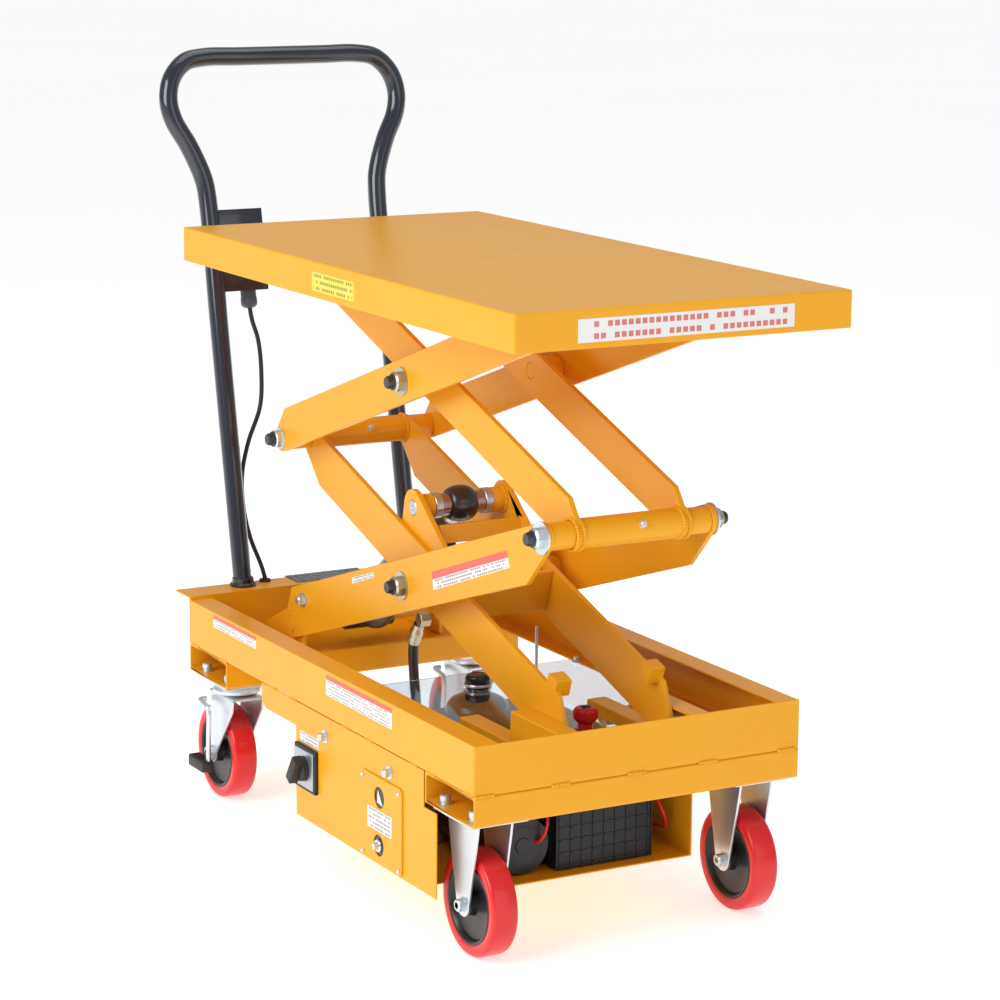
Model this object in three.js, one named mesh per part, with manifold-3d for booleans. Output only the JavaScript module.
// Battery-powered double scissor lift table on four casters, with a push handle.
// Units are millimetres. +X runs from the handle end to the free front end, +Z is up and
// -Y is the side with the key switch. Names ending in _right are on the -Y side, which is
// the operator's right when standing at the handle.
import * as THREE from "three";
import { mergeVertices } from "three/addons/utils/BufferGeometryUtils.js";
import Module from "manifold-3d";

const wasm = await Module();
wasm.setup();

// ---------------------------------------------------------------- driving dimensions
const GAP = 0.3; // clearance between pieces that touch
const RUN = 0.6; // running clearance round a pin or beside a turning face

// Load deck
const DECK_LENGTH = 1050;
const DECK_WIDTH = 520;
const DECK_SKIRT = 52;
const DECK_SHEET = 3;
const DECK_REAR_X = -501; // rear edge of the deck, in the chassis frame, at the drawn height
const DECK_ABOVE_PIVOT = 26.6; // deck top above the upper pivots

// Chassis
const BASE_WIDTH = 520;
const BASE_REAR_X = -497.7;
const BASE_FRONT_X = 450;
const BASE_SHEET = 3;
const RAIL_BOTTOM_Z = 249;
const RAIL_TOP_Z = 319.5;
const RAIL_FLANGE = 38;
const REAR_WEB_TOP_Z = 324.5;
const REAR_FLANGE = 54;
const CHANNEL_DEPTH = 142;
const CHANNEL_HEIGHT = 43.7;

// Scissor: four pairs of flat bars. LONG is from a middle pivot to a mid-level or deck
// pivot, SHORT from the lower middle pivot down to the chassis.
const LIFT_ANGLE = THREE.MathUtils.degToRad(20.25);
const LONG = 438;
const SHORT = 406;
const BASE_PIVOT = new THREE.Vector2(-388, 290); // x, z of the fixed chassis pivot
const ARM_THICK = 8;
const LOWER_ARM_WIDTH = 78;
const UPPER_ARM_WIDTH = 64;
const INNER_ARM_Y = 80; // inner face of the inner pair
const OUTER_ARM_Y = 126; // inner face of the outer pair
const END_EDGE = 21; // metal left round an end hole
const PIN_R = 12;
const BOSS_R = 20;
const CROSS_PLATE_AT = 60; // from the middle pivot, towards the rollers
const STOP_BLOCK = 25; // cube on the lower inner arms
const STOP_BLOCK_AT = 352; // from the middle pivot
const STOP_BLOCK_RISE = 17; // above the arm's edge
const STUD_OUT = 25; // length of a pivot stud outside the outer arm

// Rollers and their tracks
const ROLLER_R = 20;
const ROLLER_WIDTH = 24;
const ROLLER_OFFSET = 2.5; // between an arm and its roller
const STUB_R = 8; // stub axle on the arm
const TRACK_SHEET = 4;
const TRACK_REAR_X = 150;
const TRACK_HOOD_X = 300; // the track is closed on top from here to the front plate
const TRACK_WIDTH = 32;
const DECK_TRACK_X = [150, 500];

// Hydraulic cylinder
const ROD_PIN = new THREE.Vector2(-77, 529); // x, z; the foot turns on the chassis pivot's axis
const BARREL_R = 36;
const BARREL_LENGTH = 286; // from the foot's axis to the mouth of the gland
const BARREL_START = 22; // the barrel proper begins this far in front of the foot's axis
const BORE_R = 30;
const PIVOT_PIN_REACH = 44; // how close the chassis pivot pins come to the middle plane
const ROD_R = 18;
const ROD_LENGTH = 280;
const EYE_R = 25;
const EYE_WIDTH = 42;
const EAR_Y = 71; // inner face of the bracket ears
const EAR_R = 28;

// Casters
const WHEEL_R = 75;
const WHEEL_WIDTH = 40;
const WHEEL_Y = 210.6;
const FRONT_AXLE_X = 377.5;
const SWIVEL_X = -427;
const SWIVEL_TRAIL = 40;
const AXLE_R = 6;
const FORK_SHEET = 4;
const CASTER_PLATE = [112, 88, 6];

// Power pack tray, hung under the right-hand rail
const TRAY_X = [-105, 341];
const TRAY_LEFT_Y = 155;
const TRAY_NOTCH = [285, -180]; // x, y: the corner cut out of the floor for a front wheel
const TRAY_BOTTOM_Z = 74;
const PANEL_SHALLOW_Z = 211; // lower edge of the panel behind the deep part
const PANEL_REAR_X = -226;
const TRAY_SHEET = 2.5;
const BATTERY = [160, 158, 106]; // length, width, height
const MOTOR_R = 43;
const COVER_SHEET = 3;
const STOP_BUTTON = [242, 34]; // x, y
const STOP_STEM_R = 11;
const STOP_R = 18;
const TANK = [-48, 16]; // x, y
const TANK_R = 50;
const CAP_R = 19;

// Push handle: one bent tube that leans back
const HANDLE_R = 15;
const HANDLE_FOOT_X = -530;
const HANDLE_HALF_SPAN = 152;
const HANDLE_LOOP_HALF = 204;
const HANDLE_TOP_Z = 1158;
const HANDLE_LEAN = 0.2; // backward run for each unit of rise
const HANDLE_BEND_Z = 935;

// The drawing's origin is on the chassis; this brings the middle of the whole footprint to it.
const TO_ORIGIN = new THREE.Vector3(80.6, 14.6, 0);

// ---------------------------------------------------------------- finishes
const finish = (color, roughness, metalness) => () =>
  new THREE.MeshStandardMaterial({ color, roughness, metalness });
const yellowPaint = finish("#eda537", 0.35, 0.0);
const blackTube = finish("#15171c", 0.25, 0.0);
const zinc = finish("#b9bec4", 0.35, 0.9);
const steel = finish("#c9ccd0", 0.25, 1.0);
const blackSteel = finish("#1b1b1d", 0.3, 0.6);
const redTread = finish("#c4202a", 0.3, 0.0);
const blackPlastic = finish("#1a1a1c", 0.5, 0.0);
const redPlastic = finish("#b3121c", 0.35, 0.0);
const greenPlastic = finish("#1f7a3a", 0.4, 0.0);
const clearPlastic = finish("#c5d6e6", 0.08, 0.0);
const tankPlastic = finish("#3a2f2a", 0.35, 0.0);
const rubber = finish("#141414", 0.55, 0.0);

// ---------------------------------------------------------------- solids and booleans
function toManifold(geometry) {
  const bare = geometry.clone();
  bare.deleteAttribute("normal");
  bare.deleteAttribute("uv");
  const merged = mergeVertices(bare, 1e-4);
  return new wasm.Manifold(
    new wasm.Mesh({
      numProp: 3,
      vertProperties: new Float32Array(merged.attributes.position.array),
      triVerts: new Uint32Array(merged.index.array),
    }),
  );
}

function toGeometry(manifold) {
  const mesh = manifold.getMesh();
  const geometry = new THREE.BufferGeometry();
  geometry.setAttribute("position", new THREE.BufferAttribute(mesh.vertProperties, 3));
  geometry.setIndex(new THREE.BufferAttribute(mesh.triVerts, 1));
  geometry.computeVertexNormals();
  return geometry;
}

function join(...geometries) {
  return toGeometry(geometries.map(toManifold).reduce((all, next) => all.add(next)));
}

function cut(geometry, ...tools) {
  return toGeometry(
    tools.map(toManifold).reduce((left, tool) => left.subtract(tool), toManifold(geometry)),
  );
}

function box([x0, x1], [y0, y1], [z0, z1]) {
  return new THREE.BoxGeometry(x1 - x0, y1 - y0, z1 - z0).translate(
    (x0 + x1) / 2,
    (y0 + y1) / 2,
    (z0 + z1) / 2,
  );
}

// Cylinders along each axis, between two positions on that axis
function cylinderY(radius, [y0, y1], x, z, sides = 24) {
  return new THREE.CylinderGeometry(radius, radius, y1 - y0, sides)
    .translate(x, (y0 + y1) / 2, z);
}

function cylinderX(radius, [x0, x1], y, z, sides = 24) {
  return new THREE.CylinderGeometry(radius, radius, x1 - x0, sides)
    .rotateZ(-Math.PI / 2)
    .translate((x0 + x1) / 2, y, z);
}

function cylinderZ(radius, [z0, z1], x, y, sides = 24) {
  return new THREE.CylinderGeometry(radius, radius, z1 - z0, sides)
    .rotateX(Math.PI / 2)
    .translate(x, y, (z0 + z1) / 2);
}

// A flat shape drawn in x and z, with its thickness between two y values
function plateXZ(shape, [y0, y1], curveSegments = 8) {
  return new THREE.ExtrudeGeometry(shape, { depth: y1 - y0, bevelEnabled: false, curveSegments })
    .rotateX(Math.PI / 2)
    .translate(0, y1, 0);
}

// A flat shape drawn in y and z, with its thickness between two x values
function plateYZ(shape, [x0, x1], curveSegments = 8) {
  return new THREE.ExtrudeGeometry(shape, { depth: x1 - x0, bevelEnabled: false, curveSegments })
    .rotateX(Math.PI / 2)
    .rotateZ(Math.PI / 2)
    .translate(x0, 0, 0);
}

// A flat shape drawn in x and y, with its thickness between two z values
function plateXY(shape, [z0, z1], curveSegments = 8) {
  return new THREE.ExtrudeGeometry(shape, { depth: z1 - z0, bevelEnabled: false, curveSegments })
    .translate(0, 0, z0);
}

function outline(points) {
  return new THREE.Shape(points.map(([x, y]) => new THREE.Vector2(x, y)));
}

// A round bar or tube along a smooth curve through the points
function tube(points, radius, steps, sides) {
  const section = new THREE.Shape().absarc(0, 0, radius, 0, 2 * Math.PI);
  const path = new THREE.CatmullRomCurve3(points, false, "centripetal");
  return new THREE.ExtrudeGeometry(section, {
    steps,
    curveSegments: sides / 2,
    bevelEnabled: false,
    extrudePath: path,
  });
}

const model = new THREE.Group();
const chassisFrame = new THREE.Group();
chassisFrame.position.copy(TO_ORIGIN);
model.add(chassisFrame);

function add(name, geometry, material, parent = chassisFrame) {
  const mesh = new THREE.Mesh(geometry, material());
  mesh.name = name;
  parent.add(mesh);
  return mesh;
}

// Both sides of the machine, with the sign of y and the name ending
const SIDES = [
  [-1, "right"],
  [1, "left"],
];

// A y range on one side, given as distances from the middle plane
function onSide(side, [inner, outer]) {
  return side > 0 ? [inner, outer] : [-outer, -inner];
}

// ---------------------------------------------------------------- pivots at the drawn height
const sin = Math.sin(LIFT_ANGLE);
const cos = Math.cos(LIFT_ANGLE);
const lowerMid = new THREE.Vector2(BASE_PIVOT.x + SHORT * cos, BASE_PIVOT.y + SHORT * sin);
const frontLink = new THREE.Vector2(lowerMid.x + LONG * cos, lowerMid.y + LONG * sin);
const rearLink = new THREE.Vector2(lowerMid.x - LONG * cos, lowerMid.y + LONG * sin);
const upperMid = new THREE.Vector2(lowerMid.x, lowerMid.y + 2 * LONG * sin);
const deckPivot = new THREE.Vector2(upperMid.x - LONG * cos, upperMid.y + LONG * sin);
const deckRoller = new THREE.Vector2(upperMid.x + LONG * cos, upperMid.y + LONG * sin);
const chassisRoller = new THREE.Vector2(lowerMid.x + SHORT * cos, BASE_PIVOT.y);

// ---------------------------------------------------------------- chassis
const halfBase = BASE_WIDTH / 2;
const railX = [BASE_REAR_X + BASE_SHEET + GAP, BASE_FRONT_X - BASE_SHEET - GAP];

for (const [side, end] of SIDES) {
  const web = box(railX, onSide(side, [halfBase - BASE_SHEET, halfBase]), [RAIL_BOTTOM_Z, RAIL_TOP_Z]);
  const flangeY = onSide(side, [halfBase - RAIL_FLANGE, halfBase]);
  const top = box(railX, flangeY, [RAIL_TOP_Z - BASE_SHEET, RAIL_TOP_Z]);
  const bottom = box(railX, flangeY, [RAIL_BOTTOM_Z, RAIL_BOTTOM_Z + BASE_SHEET]);
  add(`side_rail_${end}`, join(web, top, bottom), yellowPaint);
}

// Pivot lugs stand on the rear cross member, just inside the outer arms
const LUG_SHEET = 6;
const lugOuterY = OUTER_ARM_Y - 2;
const lugY = [lugOuterY - LUG_SHEET, lugOuterY];
const lugTopX = BASE_PIVOT.x + 24;
const lugShape = outline([
  [BASE_REAR_X + 1, RAIL_BOTTOM_Z + GAP],
  [lugTopX, RAIL_BOTTOM_Z + GAP],
  [lugTopX, BASE_PIVOT.y + 34],
  [lugTopX - 14, BASE_PIVOT.y + 38],
  [BASE_REAR_X + 1, BASE_PIVOT.y - 18],
]);
const rearWeb = box(
  [BASE_REAR_X, BASE_REAR_X + BASE_SHEET],
  [-halfBase, halfBase],
  [RAIL_BOTTOM_Z, REAR_WEB_TOP_Z],
);
const rearFlange = box(
  [BASE_REAR_X - REAR_FLANGE, BASE_REAR_X + BASE_SHEET],
  [-halfBase, halfBase],
  [REAR_WEB_TOP_Z - BASE_SHEET, REAR_WEB_TOP_Z],
);
const lugs = SIDES.map(([side]) =>
  cut(
    plateXZ(lugShape, onSide(side, lugY)),
    cylinderY(PIN_R + RUN, onSide(side, [lugY[0] - 1, lugY[1] + 1]), BASE_PIVOT.x, BASE_PIVOT.y),
  ),
);
add("rear_cross_member", join(rearWeb, rearFlange, ...lugs), yellowPaint);

const frontWall = box(
  [BASE_FRONT_X - BASE_SHEET, BASE_FRONT_X],
  [-halfBase, halfBase],
  [RAIL_BOTTOM_Z, RAIL_TOP_Z],
);
add("front_cross_plate", frontWall, yellowPaint);

// Box channels across both ends, open at the sides; the casters bolt under them
const channelZ = [RAIL_BOTTOM_Z - GAP - CHANNEL_HEIGHT, RAIL_BOTTOM_Z - GAP];
function casterChannel(name, x) {
  const outer = box(x, [-halfBase, halfBase], channelZ);
  const inner = box(
    [x[0] + BASE_SHEET, x[1] - BASE_SHEET],
    [-halfBase - 1, halfBase + 1],
    [channelZ[0] + BASE_SHEET, channelZ[1] - BASE_SHEET],
  );
  add(name, cut(outer, inner), yellowPaint);
}
casterChannel("rear_caster_channel", [BASE_REAR_X, BASE_REAR_X + CHANNEL_DEPTH]);
casterChannel("front_caster_channel", [BASE_FRONT_X - CHANNEL_DEPTH, BASE_FRONT_X]);

// Tracks for the chassis rollers: a flat strip, hooded at the front
const trackFloorZ = chassisRoller.y - ROLLER_R - GAP;
const trackY = [INNER_ARM_Y + ARM_THICK + 2, INNER_ARM_Y + ARM_THICK + 2 + TRACK_WIDTH];
const trackX = [TRACK_REAR_X, railX[1]];
const trackRoofZ = chassisRoller.y + ROLLER_R + RUN;
for (const [side, end] of SIDES) {
  const floor = box(trackX, onSide(side, trackY), [RAIL_BOTTOM_Z, trackFloorZ]);
  const web = box(
    [TRACK_HOOD_X, trackX[1]],
    onSide(side, [trackY[1] - TRACK_SHEET, trackY[1]]),
    [RAIL_BOTTOM_Z, trackRoofZ + TRACK_SHEET],
  );
  const roof = box(
    [TRACK_HOOD_X, trackX[1]],
    onSide(side, trackY),
    [trackRoofZ, trackRoofZ + TRACK_SHEET],
  );
  add(`roller_track_${end}`, join(floor, web, roof), yellowPaint);
}

// ---------------------------------------------------------------- scissor arms
// An arm is drawn about its middle hole with its edges level. All its holes lie on one line
// that crosses the bar at a small angle, low at the rear and high at the front, so that the
// arms nest nearly flat when the table is lowered. A falling arm is the mirror image.
function holeSlope(width) {
  return Math.asin((width / 2 - END_EDGE) / LONG);
}

function armShape(width, rear, front) {
  const half = width / 2;
  const slope = holeSlope(width);
  const hole = (end) => new THREE.Vector2(end.reach, 0).rotateAround(new THREE.Vector2(), slope);
  // Where the round end meets the straight cut that runs back to the far corner
  const tangent = (end, radius) => {
    const toCorner = new THREE.Vector2(-end.corner, -half - hole(end).y);
    return Math.atan2(toCorner.y, toCorner.x) + Math.acos(radius / toCorner.length());
  };
  const f = hole(front);
  const r = hole(rear).negate();
  const frontRadius = half - f.y;
  const rearRadius = half + r.y;
  const shape = new THREE.Shape();
  shape.moveTo(r.x + rear.corner, half);
  shape.lineTo(f.x, half);
  shape.absarc(f.x, f.y, frontRadius, Math.PI / 2, tangent(front, frontRadius), true);
  shape.lineTo(f.x - front.corner, -half);
  shape.lineTo(r.x, -half);
  shape.absarc(r.x, r.y, rearRadius, -Math.PI / 2, Math.PI + tangent(rear, rearRadius), true);
  shape.closePath();
  return { points: shape.getPoints(8), holes: [new THREE.Vector2(), f, r] };
}

// The straight cut at a bar's end starts this far back from its hole
const MID_END = { reach: LONG, corner: 61 };
const UPPER_END = { reach: LONG, corner: 26 };
const CHASSIS_END = { reach: SHORT, corner: 21 };

// Builds a pair of bars at their place. A stub for a roller is joined on where its length is
// given, and so are any other solids the bar carries, which are given in the chassis frame.
function armPair({ name, width, rear, front, mid, rises, innerY, stub, carries }) {
  const { points, holes } = armShape(width, rear, front);
  const way = rises ? 1 : -1;
  const drawn = points.map((p) => new THREE.Vector2(p.x, way * p.y));
  const turn = way * (LIFT_ANGLE - holeSlope(width));
  for (const [side, end] of SIDES) {
    const y = onSide(side, [innerY, innerY + ARM_THICK]);
    const bar = plateXZ(new THREE.Shape(drawn), y);
    const drilled = stub ? [holes[0], holes[2]] : holes;
    const drills = drilled.map((h) => cylinderY(PIN_R + RUN, [y[0] - 1, y[1] + 1], h.x, way * h.y));
    let body = cut(bar, ...drills);
    if (stub) {
      const stubY = onSide(side, [innerY, innerY + ARM_THICK + stub]);
      body = join(body, cylinderY(STUB_R, stubY, holes[1].x, way * holes[1].y));
    }
    body.rotateY(-turn).translate(mid.x, 0, mid.y);
    add(`${name}_${end}`, carries ? join(body, ...carries(side, turn)) : body, yellowPaint);
  }
}

const stubLength = ROLLER_OFFSET + ROLLER_WIDTH;

armPair({
  name: "lower_outer_arm",
  width: LOWER_ARM_WIDTH,
  rear: CHASSIS_END,
  front: MID_END,
  mid: lowerMid,
  rises: true,
  innerY: OUTER_ARM_Y,
});
armPair({
  name: "lower_inner_arm",
  width: LOWER_ARM_WIDTH,
  rear: MID_END,
  front: CHASSIS_END,
  mid: lowerMid,
  rises: false,
  innerY: INNER_ARM_Y,
  stub: stubLength,
  carries: (side, turn) => [
    box(
      [STOP_BLOCK_AT, STOP_BLOCK_AT + STOP_BLOCK],
      onSide(side, [INNER_ARM_Y + ARM_THICK - STOP_BLOCK, INNER_ARM_Y + ARM_THICK]),
      [LOWER_ARM_WIDTH / 2 + STOP_BLOCK_RISE - STOP_BLOCK, LOWER_ARM_WIDTH / 2 + STOP_BLOCK_RISE],
    )
      .rotateY(-turn)
      .translate(lowerMid.x, 0, lowerMid.y),
  ],
});
armPair({
  name: "upper_outer_arm",
  width: UPPER_ARM_WIDTH,
  rear: UPPER_END,
  front: UPPER_END,
  mid: upperMid,
  rises: true,
  innerY: OUTER_ARM_Y,
  stub: stubLength,
});
armPair({
  name: "upper_inner_arm",
  width: UPPER_ARM_WIDTH,
  rear: UPPER_END,
  front: UPPER_END,
  mid: upperMid,
  rises: false,
  innerY: INNER_ARM_Y,
});

// Cross plate welded between the lower inner arms, square to their length
const fallTurn = -(LIFT_ANGLE - holeSlope(LOWER_ARM_WIDTH));
const crossPlate = box(
  [CROSS_PLATE_AT, CROSS_PLATE_AT + 6],
  [-INNER_ARM_Y + GAP, INNER_ARM_Y - GAP],
  [-LOWER_ARM_WIDTH / 2 + 10, LOWER_ARM_WIDTH / 2 - 2],
)
  .rotateY(-fallTurn)
  .translate(lowerMid.x, 0, lowerMid.y);
add("arm_cross_plate", crossPlate, yellowPaint);

// Middle pins: a shouldered stud that spaces the inner arm from the outer arm
const betweenArms = [INNER_ARM_Y + ARM_THICK + GAP, OUTER_ARM_Y - GAP];
const studTipY = OUTER_ARM_Y + ARM_THICK + STUD_OUT;
for (const [level, mid] of [["lower", lowerMid], ["upper", upperMid]]) {
  for (const [side, end] of SIDES) {
    const shoulder = cylinderY(BOSS_R, onSide(side, betweenArms), mid.x, mid.y);
    const stud = cylinderY(PIN_R, onSide(side, [INNER_ARM_Y + GAP, studTipY]), mid.x, mid.y);
    add(`${level}_middle_pin_${end}`, join(shoulder, stud), zinc);
  }
}

// Link shafts across the machine at the mid-level joints, with spacers either side
function linkShaft(name, at, tubeRadius) {
  const tube = cylinderY(tubeRadius, [-INNER_ARM_Y + GAP, INNER_ARM_Y - GAP], at.x, at.y);
  const pin = cylinderY(PIN_R, [-studTipY, studTipY], at.x, at.y);
  const spacers = SIDES.map(([side]) => cylinderY(BOSS_R - 1, onSide(side, betweenArms), at.x, at.y));
  add(name, join(tube, pin, ...spacers), yellowPaint);
}
const LINK_TUBE_R = 21;
linkShaft("front_link_shaft", frontLink, LINK_TUBE_R);
linkShaft("rear_link_shaft", rearLink, LINK_TUBE_R);

// Chassis pivot pins, from beside the cylinder's foot out through the lugs and outer arms
for (const [side, end] of SIDES) {
  const y = onSide(side, [PIVOT_PIN_REACH, studTipY - 8]);
  add(`chassis_pivot_pin_${end}`, cylinderY(PIN_R, y, BASE_PIVOT.x, BASE_PIVOT.y), zinc);
}

// ---------------------------------------------------------------- rollers
function roller(name, side, armOuterY, at) {
  const y0 = armOuterY + ROLLER_OFFSET;
  const y = onSide(side, [y0, y0 + ROLLER_WIDTH - GAP]);
  const bore = cylinderY(STUB_R + RUN, [y[0] - 1, y[1] + 1], at.x, at.y);
  add(name, cut(cylinderY(ROLLER_R, y, at.x, at.y, 36), bore), steel);
}
for (const [side, end] of SIDES) {
  roller(`chassis_roller_${end}`, side, INNER_ARM_Y + ARM_THICK, chassisRoller);
  roller(`deck_roller_${end}`, side, OUTER_ARM_Y + ARM_THICK, deckRoller);
}

// ---------------------------------------------------------------- load deck
const deckTopZ = deckPivot.y + DECK_ABOVE_PIVOT;
const deckX = [DECK_REAR_X, DECK_REAR_X + DECK_LENGTH];
const halfDeck = DECK_WIDTH / 2;
const deckUnderZ = deckTopZ - DECK_SHEET;
const deckBlock = box(deckX, [-halfDeck, halfDeck], [deckTopZ - DECK_SKIRT, deckTopZ]);
const deckHollow = box(
  [deckX[0] + DECK_SHEET, deckX[1] - DECK_SHEET],
  [-halfDeck + DECK_SHEET, halfDeck - DECK_SHEET],
  [deckTopZ - DECK_SKIRT - 1, deckUnderZ],
);
const DECK_LUG_SHEET = 6;
const deckLugY = [INNER_ARM_Y + ARM_THICK + 2, INNER_ARM_Y + ARM_THICK + 2 + DECK_LUG_SHEET];
const deckTrackY = [OUTER_ARM_Y + ARM_THICK + 1, OUTER_ARM_Y + ARM_THICK + ROLLER_WIDTH + 9];
const deckRunZ = deckRoller.y + ROLLER_R + RUN; // underside of the strip the rollers bear on
const deckExtras = SIDES.flatMap(([side]) => [
  // lug for the fixed end of the upper inner arms, with its pin
  box([deckPivot.x - 26, deckPivot.x + 26], onSide(side, deckLugY), [deckPivot.y - 22, deckUnderZ + 1]),
  cylinderY(PIN_R, onSide(side, [INNER_ARM_Y - 4, deckLugY[1] + 8]), deckPivot.x, deckPivot.y),
  // roller channel: bearing strip, outer web and a lower lip
  box(DECK_TRACK_X, onSide(side, deckTrackY), [deckRunZ, deckUnderZ + 1]),
  box(
    DECK_TRACK_X,
    onSide(side, [deckTrackY[1] - TRACK_SHEET, deckTrackY[1]]),
    [deckRoller.y - ROLLER_R - TRACK_SHEET, deckUnderZ + 1],
  ),
  box(
    DECK_TRACK_X,
    onSide(side, [deckTrackY[0] + 12, deckTrackY[1]]),
    [deckRoller.y - ROLLER_R - TRACK_SHEET, deckRoller.y - ROLLER_R - 1],
  ),
]);
add("load_deck", join(cut(deckBlock, deckHollow), ...deckExtras), yellowPaint);

// ---------------------------------------------------------------- hydraulic cylinder
// The barrel's foot turns between the two chassis pivot pins. The rod's eye turns on
// a pin in a bracket on the lower inner arms. Both pieces are drawn along the cylinder's axis,
// which is +X in the group, with the rod pin at the group's origin.
const cylinderLength = ROD_PIN.distanceTo(BASE_PIVOT);
const cylinderAngle = Math.atan2(ROD_PIN.y - BASE_PIVOT.y, ROD_PIN.x - BASE_PIVOT.x);
const cylinderFrame = new THREE.Group();
cylinderFrame.position.set(ROD_PIN.x, 0, ROD_PIN.y);
cylinderFrame.rotation.y = -cylinderAngle;
chassisFrame.add(cylinderFrame);

const footX = -cylinderLength;
const GLAND_LENGTH = 18;
const glandX = footX + BARREL_LENGTH;
const barrelSolid = join(
  cylinderX(BARREL_R, [footX + BARREL_START, glandX - GLAND_LENGTH], 0, 0, 36),
  box([footX, footX + BARREL_START + 4], [-22, 22], [-20, 20]),
  cylinderX(BARREL_R + 3, [glandX - GLAND_LENGTH, glandX], 0, 0, 36),
  cylinderY(PIN_R + 8, [-PIVOT_PIN_REACH + 2, PIVOT_PIN_REACH - 2], footX, 0),
);
const barrelBody = cut(
  barrelSolid,
  cylinderX(BORE_R, [footX + BARREL_START + 12, glandX - GLAND_LENGTH + 2], 0, 0),
  cylinderX(ROD_R + RUN, [footX + BARREL_START + 20, glandX + 1], 0, 0),
);
add("cylinder_barrel", barrelBody, blackSteel, cylinderFrame);

const rodBody = join(
  cylinderX(ROD_R, [-ROD_LENGTH, -EYE_R + 6], 0, 0),
  cylinderY(EYE_R, [-EYE_WIDTH / 2, EYE_WIDTH / 2], 0, 0, 32),
);
const eyeBore = cylinderY(PIN_R + RUN, [-EYE_WIDTH, EYE_WIDTH], 0, 0);
add("piston_rod", cut(rodBody, eyeBore), blackSteel, cylinderFrame);

// Bracket: two ears on the inner faces of the lower inner arms, tied by a flat bar
const EAR_SHEET = INNER_ARM_Y - EAR_Y - GAP;
const earY = [EAR_Y, EAR_Y + EAR_SHEET];
const earShape = new THREE.Shape();
earShape.moveTo(ROD_PIN.x - 38, ROD_PIN.y - 42);
earShape.lineTo(ROD_PIN.x + 112, ROD_PIN.y - 90);
earShape.lineTo(ROD_PIN.x + 106, ROD_PIN.y - 48);
earShape.absarc(ROD_PIN.x, ROD_PIN.y, EAR_R, Math.PI / 4, Math.PI, false);
earShape.closePath();
const ears = SIDES.map(([side]) => plateXZ(earShape, onSide(side, earY), 8));
const PIN_BOSS_R = 19;
const PIN_BOSS_LENGTH = 22;
const earBosses = SIDES.map(([side]) =>
  cylinderY(PIN_BOSS_R, onSide(side, [EAR_Y - PIN_BOSS_LENGTH, EAR_Y + 1]), ROD_PIN.x, ROD_PIN.y),
);
const tieBar = box(
  [ROD_PIN.x + 55, ROD_PIN.x + 65],
  [-EAR_Y - 1, EAR_Y + 1],
  [ROD_PIN.y - 44, ROD_PIN.y - 17],
);
const rodPinBore = cylinderY(PIN_R + GAP, [-INNER_ARM_Y, INNER_ARM_Y], ROD_PIN.x, ROD_PIN.y);
const bracket = cut(join(...ears, ...earBosses, tieBar), rodPinBore);
add("cylinder_bracket", bracket, yellowPaint);
const rodPinY = [-EAR_Y - EAR_SHEET, EAR_Y + EAR_SHEET];
add("cylinder_rod_pin", cylinderY(PIN_R, rodPinY, ROD_PIN.x, ROD_PIN.y), steel);

// ---------------------------------------------------------------- casters
// A wheel turned about its axle: polyurethane tread on a moulded core, with a bored hub
function wheel(name, side, axleX, parent = chassisFrame) {
  const half = WHEEL_WIDTH / 2;
  const bore = AXLE_R + RUN;
  const profile = [
    [bore, -half - 3],
    [16, -half - 3],
    [18, -half + 8],
    [52, -half + 8],
    [58, -half],
    [WHEEL_R - 5, -half],
    [WHEEL_R, -half + 6],
    [WHEEL_R, half - 6],
    [WHEEL_R - 5, half],
    [58, half],
    [52, half - 8],
    [18, half - 8],
    [16, half + 3],
    [bore, half + 3],
    [bore, -half - 3],
  ].map(([r, y]) => new THREE.Vector2(r, y));
  const geometry = new THREE.LatheGeometry(profile, 32)
    .translate(axleX, 0, WHEEL_R)
    .translate(0, side * WHEEL_Y, 0);
  return add(name, geometry, redTread, parent);
}

// Sheet fork: two cheeks that narrow down to the axle, bridged under the caster plate
function forkBody(topZ, topX, axleX, side) {
  const cheekIn = WHEEL_WIDTH / 2 + 4;
  const [topHalf, axleHalf] = [44, 17];
  const cheek = new THREE.Shape();
  cheek.moveTo(topX + topHalf, topZ);
  cheek.lineTo(topX + topHalf - 4, topZ - 22);
  cheek.lineTo(axleX + axleHalf, WHEEL_R);
  cheek.absarc(axleX, WHEEL_R, axleHalf, 0, Math.PI, true);
  cheek.lineTo(topX - topHalf + 4, topZ - 22);
  cheek.lineTo(topX - topHalf, topZ);
  cheek.closePath();
  const y = side * WHEEL_Y;
  const cheeks = [1, -1].map((s) => {
    const range = s > 0 ? [y + cheekIn, y + cheekIn + FORK_SHEET] : [y - cheekIn - FORK_SHEET, y - cheekIn];
    return plateXZ(cheek, range, 10);
  });
  const bridge = box(
    [topX - topHalf, topX + topHalf],
    [y - cheekIn - FORK_SHEET, y + cheekIn + FORK_SHEET],
    [topZ - FORK_SHEET, topZ],
  );
  const axleY = [y - cheekIn - FORK_SHEET - 9, y + cheekIn + FORK_SHEET + 9];
  return join(...cheeks, bridge, cylinderY(AXLE_R, axleY, axleX, WHEEL_R, 18));
}

const casterTopZ = channelZ[0] - GAP;
function topPlate(x, y) {
  const [length, width, sheet] = CASTER_PLATE;
  return box([x - length / 2, x + length / 2], [y - width / 2, y + width / 2], [casterTopZ - sheet, casterTopZ]);
}

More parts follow.
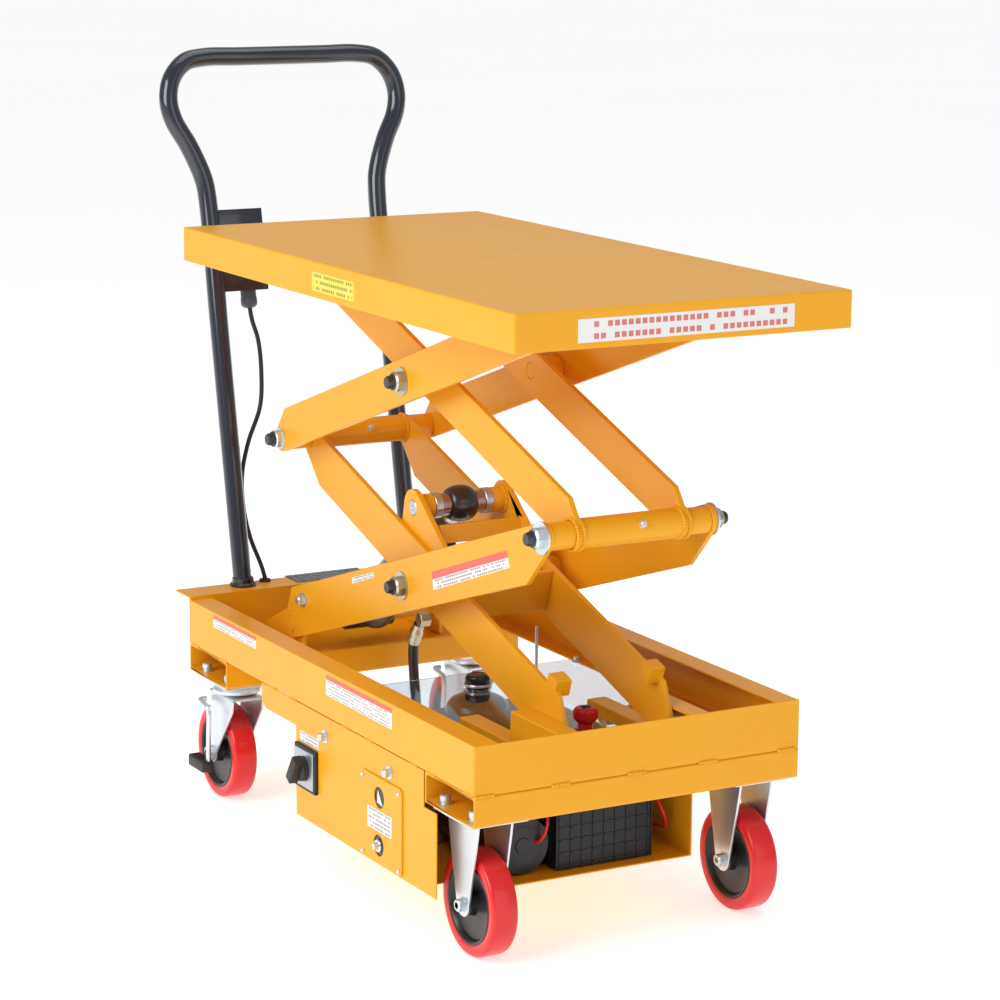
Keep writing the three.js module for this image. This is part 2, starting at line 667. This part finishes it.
const SWIVEL_HEAD = 20; // height of the swivel bearing under the plate
const swivelAxleX = SWIVEL_X - SWIVEL_TRAIL;
for (const [side, end] of SIDES) {
  const y = side * WHEEL_Y;
  const fixedTop = casterTopZ - CASTER_PLATE[2];
  const fixedFork = join(topPlate(FRONT_AXLE_X, y), forkBody(fixedTop + 1, FRONT_AXLE_X, FRONT_AXLE_X, side));
  add(`front_caster_fork_${end}`, fixedFork, zinc);
  wheel(`front_wheel_${end}`, side, FRONT_AXLE_X);

  const headZ = [casterTopZ - CASTER_PLATE[2] - SWIVEL_HEAD + GAP, casterTopZ - CASTER_PLATE[2] + 1];
  const head = cylinderZ(30, headZ, SWIVEL_X, y, 32);
  add(`rear_caster_plate_${end}`, join(topPlate(SWIVEL_X, y), head), zinc);
  const forkTop = headZ[0] - GAP;
  add(`rear_caster_fork_${end}`, forkBody(forkTop, SWIVEL_X, swivelAxleX, side), zinc);
  wheel(`rear_wheel_${end}`, side, swivelAxleX);
}

// Brake levers: a bent rod that hangs on the fork's right-hand cheek, with a foot pad
const PAD_LENGTH = 62;
const BRAKE_RISE = 86; // from the axle up to the lever's pivot
const leverY = -WHEEL_WIDTH / 2 - FORK_SHEET - 20; // from the wheel's middle plane
const BRAKE_PIVOT = new THREE.Vector2(swivelAxleX - 7, WHEEL_R + BRAKE_RISE); // x, z
for (const [side, end] of SIDES) {
  const y = side * WHEEL_Y;
  const rodPath = [
    [BRAKE_PIVOT.x, y + leverY + 12, BRAKE_PIVOT.y],
    [BRAKE_PIVOT.x, y + leverY + 2, BRAKE_PIVOT.y],
    [BRAKE_PIVOT.x + 12, y + leverY, BRAKE_PIVOT.y - 2],
    [BRAKE_PIVOT.x + 32, y + leverY, BRAKE_PIVOT.y - 6],
    [BRAKE_PIVOT.x + 36, y + leverY, BRAKE_PIVOT.y - 16],
    [BRAKE_PIVOT.x + 32, y + leverY, BRAKE_PIVOT.y - 50],
    [BRAKE_PIVOT.x + 26, y + leverY, BRAKE_PIVOT.y - 98],
  ].map(([px, py, pz]) => new THREE.Vector3(px, py, pz));
  const pad = box(
    [BRAKE_PIVOT.x - PAD_LENGTH / 2, BRAKE_PIVOT.x + PAD_LENGTH / 2],
    [y + leverY - 14, y + leverY + 8],
    [BRAKE_PIVOT.y - 112, BRAKE_PIVOT.y - 92],
  );
  add(`brake_pedal_${end}`, join(tube(rodPath, 4, 30, 8), pad), zinc);
}

// ---------------------------------------------------------------- power pack
// The right-hand panel closes the tray and hangs from the side rail.
const panelTopZ = RAIL_BOTTOM_Z - GAP;
const panelY = [-halfBase, -halfBase + TRAY_SHEET];
const panelShape = outline([
  [PANEL_REAR_X, panelTopZ],
  [PANEL_REAR_X, PANEL_SHALLOW_Z + 8],
  [PANEL_REAR_X + 14, PANEL_SHALLOW_Z],
  [TRAY_X[0], PANEL_SHALLOW_Z],
  [TRAY_X[0], TRAY_BOTTOM_Z],
  [TRAY_X[1], TRAY_BOTTOM_Z],
  [TRAY_X[1], channelZ[0] - 8],
  [BASE_FRONT_X - CHANNEL_DEPTH - 4, channelZ[0] - 8],
  [BASE_FRONT_X - CHANNEL_DEPTH - 4, panelTopZ],
]);
add("switch_panel", plateXZ(panelShape, panelY), yellowPaint);

const trayY = [panelY[1] + GAP, TRAY_LEFT_Y];
const trayTopZ = channelZ[0] - GAP;
const trayBottom = box(TRAY_X, trayY, [TRAY_BOTTOM_Z, TRAY_BOTTOM_Z + TRAY_SHEET]);
const wheelNotch = box(
  [TRAY_NOTCH[0], TRAY_X[1] + 1],
  [trayY[0] - 1, TRAY_NOTCH[1]],
  [TRAY_BOTTOM_Z - 1, TRAY_BOTTOM_Z + TRAY_SHEET + 1],
);
const trayRear = box([TRAY_X[0], TRAY_X[0] + TRAY_SHEET], trayY, [TRAY_BOTTOM_Z, trayTopZ]);
const trayLeft = box(TRAY_X, [TRAY_LEFT_Y - TRAY_SHEET, TRAY_LEFT_Y], [TRAY_BOTTOM_Z, trayTopZ]);
const HOSE_ENTRY = [-62, 138]; // y, z of the hole in the tray's rear wall
const hoseHole = cylinderX(13, [TRAY_X[0] - 1, TRAY_X[0] + TRAY_SHEET + 1], ...HOSE_ENTRY);
add("power_tray", cut(join(trayBottom, trayRear, trayLeft), wheelNotch, hoseHole), yellowPaint);

const trayFloorZ = TRAY_BOTTOM_Z + TRAY_SHEET + GAP;
const batteryX = [TRAY_X[1] - 20 - BATTERY[0], TRAY_X[1] - 20];
const batteryY = [-58, -58 + BATTERY[1]];
const batteryCase = box(batteryX, batteryY, [trayFloorZ, trayFloorZ + BATTERY[2]]);
const terminals = [0.2, 0.8].map((share) =>
  box(
    [batteryX[0] + 14, batteryX[0] + 34],
    [batteryY[0] + BATTERY[1] * share - 8, batteryY[0] + BATTERY[1] * share + 8],
    [trayFloorZ + BATTERY[2] - 1, trayFloorZ + BATTERY[2] + 12],
  ),
);
add("battery", join(batteryCase, ...terminals), blackPlastic);

const motorZ = trayFloorZ + MOTOR_R;
const motorY = batteryY[0] - MOTOR_R - 6;
const PUMP_BLOCK_X = [70, 130];
const motor = join(
  cylinderX(MOTOR_R, [PUMP_BLOCK_X[1] - 2, batteryX[1] - 8], motorY, motorZ, 32),
  box(PUMP_BLOCK_X, [motorY - 40, motorY + 40], [trayFloorZ, trayFloorZ + 92]),
);
add("pump_motor", motor, blackPlastic);

// Upright oil tank with rounded shoulders and a screw cap that stands up through the lid
const coverTopZ = RAIL_BOTTOM_Z - GAP;
const tankTopZ = coverTopZ - COVER_SHEET - 8;
const tankProfile = [
  [0, trayFloorZ],
  [TANK_R, trayFloorZ],
  [TANK_R, tankTopZ - 26],
  [TANK_R * 0.93, tankTopZ - 12],
  [TANK_R * 0.72, tankTopZ - 3],
  [CAP_R + 2, tankTopZ],
  [CAP_R, tankTopZ + 3],
  [CAP_R, coverTopZ + 16],
  [CAP_R - 4, coverTopZ + 21],
  [0, coverTopZ + 21],
].map(([r, z]) => new THREE.Vector2(r, z));
const tank = new THREE.LatheGeometry(tankProfile, 32).rotateX(Math.PI / 2).translate(...TANK, 0);
add("oil_tank", tank, tankPlastic);

// Clear lid over the power pack, held up under both rails, with the stop button in it
const coverZ = [coverTopZ - COVER_SHEET, coverTopZ];
const coverX = [TRAY_X[0] - 25, BASE_FRONT_X - CHANNEL_DEPTH - 5];
const cover = box(coverX, [panelY[1] + GAP, halfBase - BASE_SHEET], coverZ);
const lidDrill = (radius, x, y) => cylinderZ(radius, [coverZ[0] - 1, coverZ[1] + 1], x, y);
const stopHole = lidDrill(STOP_STEM_R + RUN, ...STOP_BUTTON);
const capHole = lidDrill(CAP_R + 2, ...TANK);
add("clear_cover", cut(cover, stopHole, capHole), clearPlastic);

const stopProfile = [
  [0, -30],
  [STOP_STEM_R, -30],
  [STOP_STEM_R, 16],
  [STOP_R - 4, 18],
  [STOP_R, 28],
  [STOP_R - 2, 36],
  [0, 38],
].map(([r, z]) => new THREE.Vector2(r, coverTopZ + z));
const stopButton = new THREE.LatheGeometry(stopProfile, 28)
  .rotateX(Math.PI / 2)
  .translate(...STOP_BUTTON, 0);
add("emergency_stop_button", stopButton, redPlastic);

// Rotary isolator on the panel: a round base with a bar grip
const KNOB = new THREE.Vector2(-62, 157); // x, z
const knobFaceY = panelY[0] - GAP;
const knob = join(
  cylinderY(19, [knobFaceY - 14, knobFaceY], KNOB.x, KNOB.y, 32),
  box([KNOB.x - 22, KNOB.x + 14], [knobFaceY - 30, knobFaceY - 12], [KNOB.y - 7, KNOB.y + 7]),
);
add("isolator_knob", knob, blackPlastic);

// ---------------------------------------------------------------- push handle
function handleX(z) {
  return HANDLE_FOOT_X - HANDLE_LEAN * (z - REAR_WEB_TOP_Z);
}

const handleHalf = [
  [HANDLE_HALF_SPAN, REAR_WEB_TOP_Z + 4],
  [HANDLE_HALF_SPAN, 520],
  [HANDLE_HALF_SPAN, 740],
  [HANDLE_HALF_SPAN, HANDLE_BEND_Z],
  [HANDLE_HALF_SPAN + 4, HANDLE_BEND_Z + 32],
  [HANDLE_HALF_SPAN + 24, HANDLE_BEND_Z + 84],
  [HANDLE_LOOP_HALF - 6, HANDLE_TOP_Z - 98],
  [HANDLE_LOOP_HALF, HANDLE_TOP_Z - 66],
  [HANDLE_LOOP_HALF - 9, HANDLE_TOP_Z - 32],
  [HANDLE_LOOP_HALF - 34, HANDLE_TOP_Z - 7],
  [HANDLE_LOOP_HALF - 68, HANDLE_TOP_Z],
  [HANDLE_LOOP_HALF - 130, HANDLE_TOP_Z],
];
const handlePoints = [
  ...handleHalf.map(([y, z]) => new THREE.Vector3(handleX(z), -y, z)),
  new THREE.Vector3(handleX(HANDLE_TOP_Z), 0, HANDLE_TOP_Z),
  ...handleHalf.toReversed().map(([y, z]) => new THREE.Vector3(handleX(z), y, z)),
];

const COLLAR_R = 21;
const collars = SIDES.map(([side]) =>
  cylinderZ(COLLAR_R, [REAR_WEB_TOP_Z + GAP, REAR_WEB_TOP_Z + 14], HANDLE_FOOT_X, side * HANDLE_HALF_SPAN),
);
// Mounting plate for the hand control, welded to the right-hand tube
const CONTROL_Z = [786, 919];
const CONTROL_Y = [-HANDLE_HALF_SPAN + 2, -60];
const controlMidZ = (CONTROL_Z[0] + CONTROL_Z[1]) / 2;
const controlPlate = box([-2, 2], CONTROL_Y, CONTROL_Z)
  .translate(0, 0, -controlMidZ)
  .rotateY(-Math.atan(HANDLE_LEAN))
  .translate(handleX(controlMidZ), 0, controlMidZ);
add("push_handle", join(tube(handlePoints, HANDLE_R, 64, 12), ...collars, controlPlate), blackTube);

// Hand control behind the plate, facing the operator, with two push buttons
const controlFrame = new THREE.Group();
controlFrame.position.set(handleX(controlMidZ), (CONTROL_Y[0] + CONTROL_Y[1]) / 2 + 9, controlMidZ);
controlFrame.rotation.y = -Math.atan(HANDLE_LEAN);
chassisFrame.add(controlFrame);
const CONTROL_BOX = [46, 68, 112]; // depth, width, height
const BUTTON_R = 11;
const BUTTON_RISE = 26;
const boxX = [-2 - GAP - CONTROL_BOX[0], -2 - GAP];
const buttonWells = [1, -1].map((way) =>
  cylinderX(BUTTON_R + RUN, [boxX[0] - 1, boxX[0] + 16], 0, way * BUTTON_RISE, 24),
);
const gland = cylinderZ(12, [-CONTROL_BOX[2] / 2 - 32, -CONTROL_BOX[2] / 2 + 1], boxX[0] + 24, 11, 16);
const controlCase = join(
  box(boxX, [-CONTROL_BOX[1] / 2, CONTROL_BOX[1] / 2], [-CONTROL_BOX[2] / 2, CONTROL_BOX[2] / 2]),
  gland,
);
add("control_box", cut(controlCase, ...buttonWells), blackPlastic, controlFrame);
for (const [name, way, colour] of [["raise_button", 1, greenPlastic], ["lower_button", -1, redPlastic]]) {
  const button = cylinderX(BUTTON_R, [boxX[0] - 8, boxX[0] + 8], 0, way * BUTTON_RISE, 24);
  add(name, button, colour, controlFrame);
}

// ---------------------------------------------------------------- cable and hose
const CABLE_R = 3.6;
const cableRoute = [
  [-642, -85, 760.7],
  [-637, -83, 738],
  [-630, -75.5, 705],
  [-622, -74, 655],
  [-606, -84, 600],
  [-592, -112, 545],
  [-584, -127, 495],
  [-574, -130, 445],
  [-562, -124, 395],
  [-546, -112, 350],
  [-540, -107, 326],
].map(([x, y, z]) => new THREE.Vector3(x, y, z));
add("control_cable", tube(cableRoute, CABLE_R, 48, 8), rubber);

const HOSE_R = 8;
const hoseRoute = [
  [-268, 42, 304],
  [-290, 42, 290],
  [-306, 42, 262],
  [-308, 42, 226],
  [-296, 38, 190],
  [-268, 26, 160],
  [-225, -10, 142],
  [-170, -48, 138],
  [TRAY_X[0], ...HOSE_ENTRY],
  [-50, -60, 136],
  [10, -48, 128],
  [64, -34, 122],
  [94, motorY + 62, 120],
  [98, motorY + 42, 120],
].map(([x, y, z]) => new THREE.Vector3(x, y, z));
add("hydraulic_hose", tube(hoseRoute, HOSE_R, 56, 10), rubber);

export default model;
